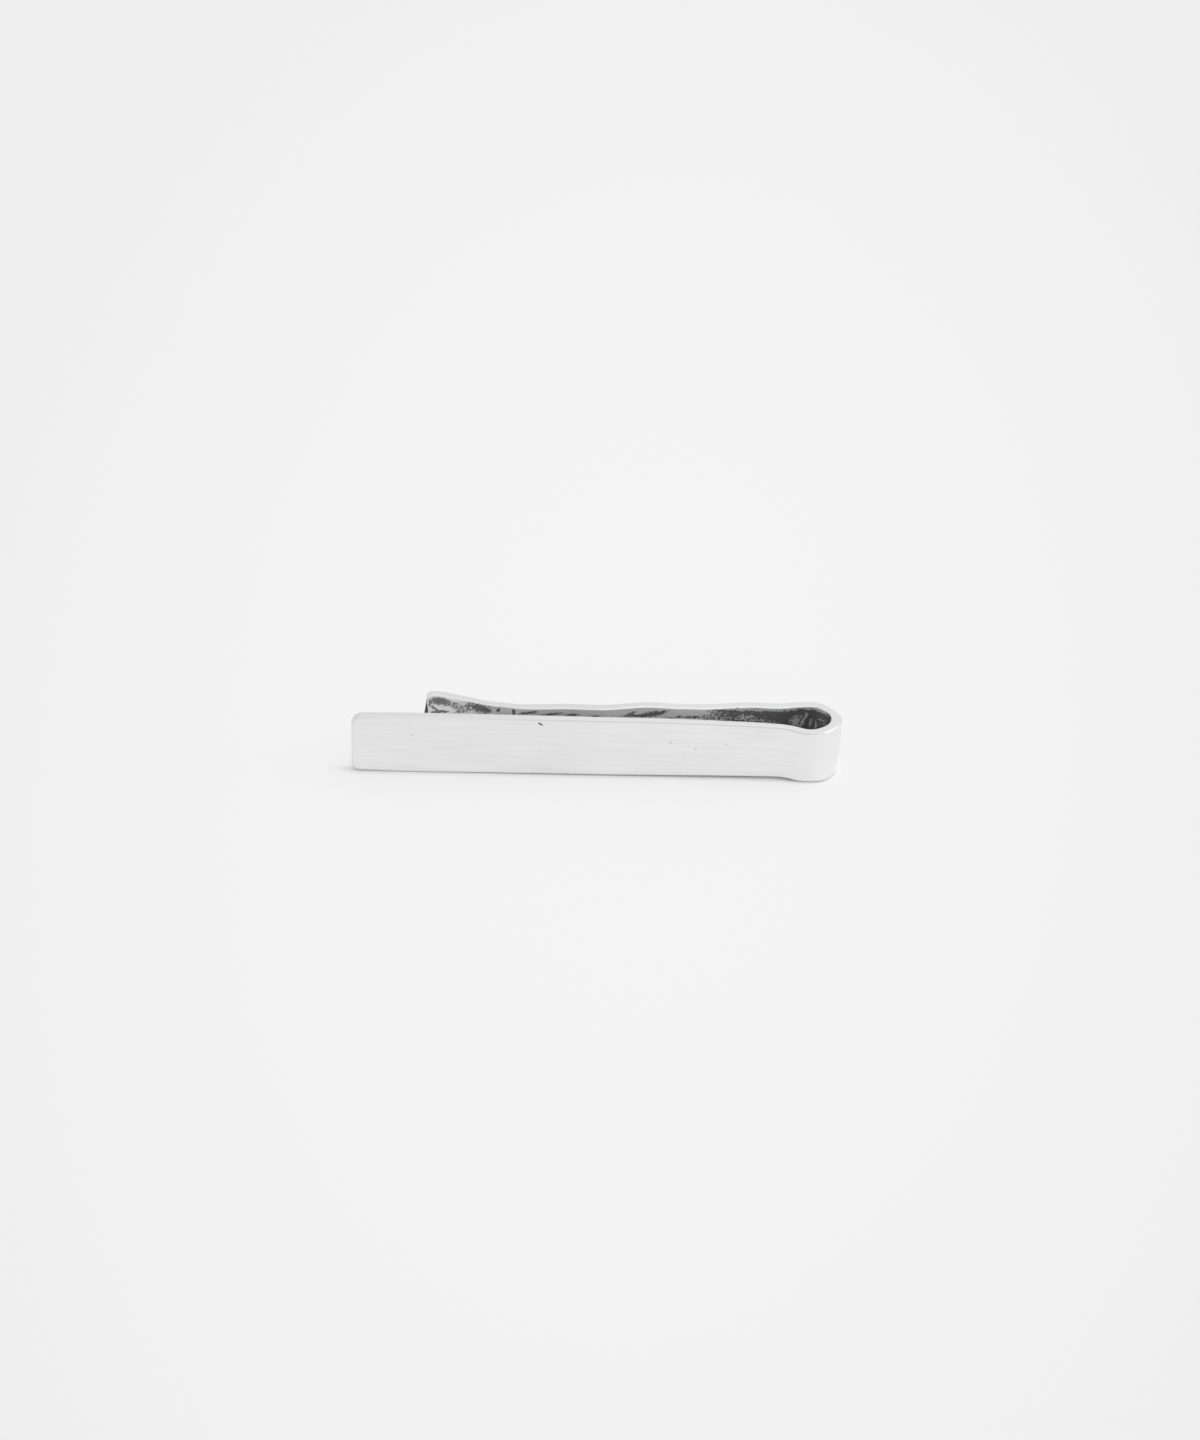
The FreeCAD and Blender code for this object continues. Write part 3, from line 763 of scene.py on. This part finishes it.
def makeSilver():
    material = bpy.data.materials.new("satin_silver")
    start = emptyNodes(material)
    place = start.node("ShaderNodeAttribute", {"attribute_name": "place"}, {}, "Vector")
    patinaAndShade = start.node("ShaderNodeAttribute", {"attribute_name": "patinaAndShade"}, {}, "Fac")
    along = start.node("ShaderNodeSeparateXYZ", {}, {"Vector": place}, "X")
    depth = start.node("ShaderNodeSeparateXYZ", {}, {"Vector": place}, "Z")

    # bare metal, with painted sheen, highlights and shade
    lines = place.grain(*silver["lineGrain"])
    cloud = place.grain(*silver["cloudGrain"])
    tone = 0.5 + silver["lineContrast"] * (lines - 0.5) + silver["cloudContrast"] * (cloud - 0.5)
    colour = tone.mixed(silver["dull"], silver["bright"])
    # painted sheen: the far end of the loop is made paler
    loopSheen = silver["loopSheen"] * along.between(*silver["loopSheenRuns"])
    colour = loopSheen.mixed(colour, silver["paintedSheen"])
    # painted shade on the rims, lighter along the middle and darker towards both free ends
    litMiddle = along.between(*silver["litMiddleRuns"])
    rim = depth.between(*silver["rimDepths"])
    colour = rim.mixed(colour, litMiddle.mixed(silver["rimPaintedShade"], silver["rim"]))
    # painted shade line where the rim meets the outer face, fainter towards both free ends
    shadeLineShare = silver["shadeLineAtEnds"] + (1 - silver["shadeLineAtEnds"]) * litMiddle
    paintedShadeLine = depth.between(*silver["shadeLineDepths"]) * shadeLineShare
    colour = paintedShadeLine.mixed(colour, silver["edge"])
    # painted highlight along the inner edge of the rim
    innerEdgeHighlight = depth.fade(*silver["innerEdgeDepth"]) * along.between(*silver["innerEdgeRuns"])
    # painted light on the inner face towards the tip, and a painted highlight at its lip
    inside = depth.fade(*silver["tipDepth"])
    tipPaintedLight = inside * along.fade(*silver["tipRun"])
    lipPaintedHighlight = inside * along.fade(*silver["lipRun"])
    colour = (silver["innerEdgeHighlight"] * innerEdgeHighlight + tipPaintedLight).mixed(colour, silver["paintedSheen"])
    metal = 1.0 - silver["tipPale"] * tipPaintedLight - silver["lipPale"] * lipPaintedHighlight

    # tarnishing, painted shade on the tip's end face, and marks
    film = tarnishAndShadeLook["filmShare"] * patinaAndShade.fade(*tarnishAndShadeLook["filmSpan"])
    colour = film.mixed(colour, tarnishAndShadeLook["film"])
    speckle = place.grain(*tarnishAndShadeLook["speckleGrain"])
    mottle = tarnishAndShadeLook["mottle"] * patinaAndShade.fade(*tarnishAndShadeLook["mottleSpan"])
    mottle = mottle + tarnishAndShadeLook["mottleMore"] * patinaAndShade.between(*tarnishAndShadeLook["mottleMoreSpans"])
    black = (patinaAndShade + mottle * (speckle - 0.5)).fade(*tarnishAndShadeLook["blackSpan"])
    colour = black.mixed(colour, tarnishAndShadeLook["black"])
    marks = makeMarks(place)
    # painted shade on the tip's end face, and the dark of the marks
    colour = (marks + patinaAndShade.fade(*tarnishAndShadeLook["endShadeSpan"])).mixed(colour, tarnishAndShadeLook["shadeAndMarks"])
    roughness = silver["roughness"] + silver["lineRoughness"] * (lines - 0.5)
    roughness = roughness + tarnishAndShadeLook["roughness"] * patinaAndShade.fade(*tarnishAndShadeLook["roughSpan"])
    bump = start.node("ShaderNodeBump", {}, {
        "Strength": silver["lineStrength"],
        "Distance": silver["lineDepth"],
        "Height": lines - silver["markDepth"] * marks,
    })
    shader = start.node("ShaderNodeBsdfPrincipled", {}, {
        "Base Color": colour,
        "Metallic": metal,
        "Roughness": roughness,
        "Normal": bump,
    })
    start.node("ShaderNodeOutputMaterial", {}, {"Surface": shader})
    print("silver has", len(material.node_tree.nodes), "nodes")
    return material


silverMaterial = makeSilver()
makeFrontBar(silverMaterial)
makeSpringLoop(silverMaterial)
makeBackLeg(silverMaterial)

# Paper floor
paper = {
    "side": 6.0,
    "drop": 0.005 * mm,
    "near": grey(0.91),
    "far": grey(0.855),
    "middle": (6 * mm, 10 * mm, 0),
    "reach": (55 * mm, 140 * mm, 1),  # across and away, how far the light on the paper holds
    "reachFade": (0.2, 1.8),
    "glow": 0.6,  # share of the paper that looks evenly white, away from the clip
    "glowFade": (0.05 * mm, 0.7 * mm),
    "glowBeyond": 0.3,  # more beyond the loop
    "beyondFade": (23 * mm, 27 * mm),  # along the clip
    "coveredHalfLength": -barLow.x,  # of the ground that the clip covers, which is round at the loop
    "coveredHalfWidth": 2.75 * mm,
    "middleFade": (0.0, 1.0 * mm),  # from one side of the middle to the other
    "glowBehind": 0.2,  # pace at which the glow begins behind the leg; elsewhere it is 1
    "behindFade": (-12 * mm, 12 * mm),  # along the clip
    "glowAtEnd": 0.2,  # and in the lane that the bar shades beyond its free end
    "laneAt": -2.2 * mm,
    "laneFade": (0.2 * mm, 1.0 * mm),
}


def makeFloor():
    half, drop = paper["side"] / 2, -paper["drop"]
    mesh = bpy.data.meshes.new("floor")
    corners = [(-half, -half, drop), (half, -half, drop), (half, half, drop), (-half, half, drop)]
    mesh.from_pydata(corners, [], [(0, 1, 2, 3)])
    floor = bpy.data.objects.new("floor", mesh)
    bpy.context.scene.collection.objects.link(floor)
    material = bpy.data.materials.new("floor_paper")
    start = emptyNodes(material)
    spot = start.node("ShaderNodeNewGeometry", {}, {}, "Position")
    x = spot.dot((1, 0, 0))
    y = spot.dot((0, 1, 0))
    away = spot.vector("SUBTRACT", paper["middle"]).vector("DIVIDE", paper["reach"]).length()
    tone = away.fade(*paper["reachFade"]).mixed(paper["near"], paper["far"])

    # the glow begins where the ground under the clip ends
    halfLength, halfWidth = paper["coveredHalfLength"], paper["coveredHalfWidth"]
    atLoop = x.fade(*paper["middleFade"])
    lane = (1.0 - abs(y - paper["laneAt"]).fade(*paper["laneFade"])) * (1.0 - atLoop)
    behind = y.fade(*paper["middleFade"]) * (1.0 - x.fade(*paper["behindFade"]))
    pace = start.node("ShaderNodeCombineXYZ", {}, {
        "X": 1.0 - (1 - paper["glowAtEnd"]) * lane,
        "Y": 1.0 - (1 - paper["glowBehind"]) * behind,
    })
    rounding = start.node("ShaderNodeCombineXYZ", {}, {"X": halfWidth * atLoop, "Y": halfWidth * atLoop})
    beside = spot.vector("ABSOLUTE").vector("SUBTRACT", (halfLength, halfWidth, 0))
    beside = beside.vector("MULTIPLY", pace).vector("ADD", rounding).vector("MAXIMUM", (0, 0, 0))
    clear = beside.length() - halfWidth * atLoop
    seen = start.node("ShaderNodeLightPath", {}, {}, "Is Camera Ray")
    for ray in ("Is Glossy Ray", "Is Transmission Ray"):
        seen = seen + start.node("ShaderNodeLightPath", {}, {}, ray)
    share = paper["glow"] + paper["glowBeyond"] * x.fade(*paper["beyondFade"])
    glow = share * clear.fade(*paper["glowFade"]) * seen.fade(0.0, 1.0)
    plain = start.node("ShaderNodeBsdfDiffuse", {}, {"Color": tone})
    lit = start.node("ShaderNodeEmission", {}, {"Color": tone})
    shader = start.node("ShaderNodeMixShader", {}, {0: glow, 1: plain, 2: lit})
    start.node("ShaderNodeOutputMaterial", {}, {"Surface": shader})
    mesh.materials.append(material)
    print("floor ready")


# Studio light
studio = {
    "sky": 0.83,  # brightness towards the horizon, and what is added to the right and above
    "skyRight": 0.12,
    "skyAbove": 0.06,
    "keyAzimuth": math.radians(0),  # soft light beyond the loop, in line with the clip
    "keyElevation": math.radians(38),
    "keyInner": math.radians(8),
    "keyOuter": math.radians(28),
    "keyStrength": 1.8,
}


def makeLight():
    world = bpy.data.worlds.new("studio")
    bpy.context.scene.world = world
    start = emptyNodes(world)
    towards = start.node("ShaderNodeTexCoord", {}, {}, "Generated")
    azimuth, elevation = studio["keyAzimuth"], studio["keyElevation"]
    key = (
        math.cos(azimuth) * math.cos(elevation),
        math.sin(azimuth) * math.cos(elevation),
        math.sin(elevation),
    )
    nearKey = towards.dot(key).fade(math.cos(studio["keyOuter"]), math.cos(studio["keyInner"]))
    slopes = (studio["skyRight"], 0, studio["skyAbove"])
    strength = studio["sky"] + towards.dot(slopes) + studio["keyStrength"] * nearKey
    background = start.node("ShaderNodeBackground", {}, {"Color": grey(1.0), "Strength": strength})
    start.node("ShaderNodeOutputWorld", {}, {"Surface": background})
    print("light ready")


# Camera
view = {
    "azimuth": math.radians(2.1),
    "elevation": math.radians(32),
    "pixelsPerMm": 8.89,
    "imageHeight": 1440,
    "centre": (600, 720),  # of the image, in pixels
    "origin": (597.24, 763.21),  # where the frame's origin is seen, in pixels
    "lens": 300,
    "clipFactor": 100,  # nearest and furthest that is seen, against the camera's distance
}


def makeCamera():
    azimuth, elevation = view["azimuth"], view["elevation"]
    right = Vector((math.cos(azimuth), math.sin(azimuth), 0))
    forward = Vector((
        -math.sin(azimuth) * math.cos(elevation),
        math.cos(azimuth) * math.cos(elevation),
        -math.sin(elevation),
    ))
    up = right.cross(forward)
    scale = mm / view["pixelsPerMm"]
    aim = right * ((view["centre"][0] - view["origin"][0]) * scale)
    aim += up * ((view["origin"][1] - view["centre"][1]) * scale)
    data = bpy.data.cameras.new("camera")
    data.lens = view["lens"]
    frameHeight = view["imageHeight"] * scale
    distance = frameHeight * data.lens / data.sensor_width
    data.clip_start = distance / view["clipFactor"]
    data.clip_end = distance * view["clipFactor"]
    camera = bpy.data.objects.new("camera", data)
    camera.rotation_mode = "QUATERNION"
    camera.rotation_quaternion = forward.to_track_quat("-Z", "Y")
    camera.location = aim - forward * distance
    bpy.context.scene.collection.objects.link(camera)
    bpy.context.scene.camera = camera
    print("camera ready")


makeFloor()
makeLight()
makeCamera()
bpy.context.scene.view_settings.view_transform = "Standard"
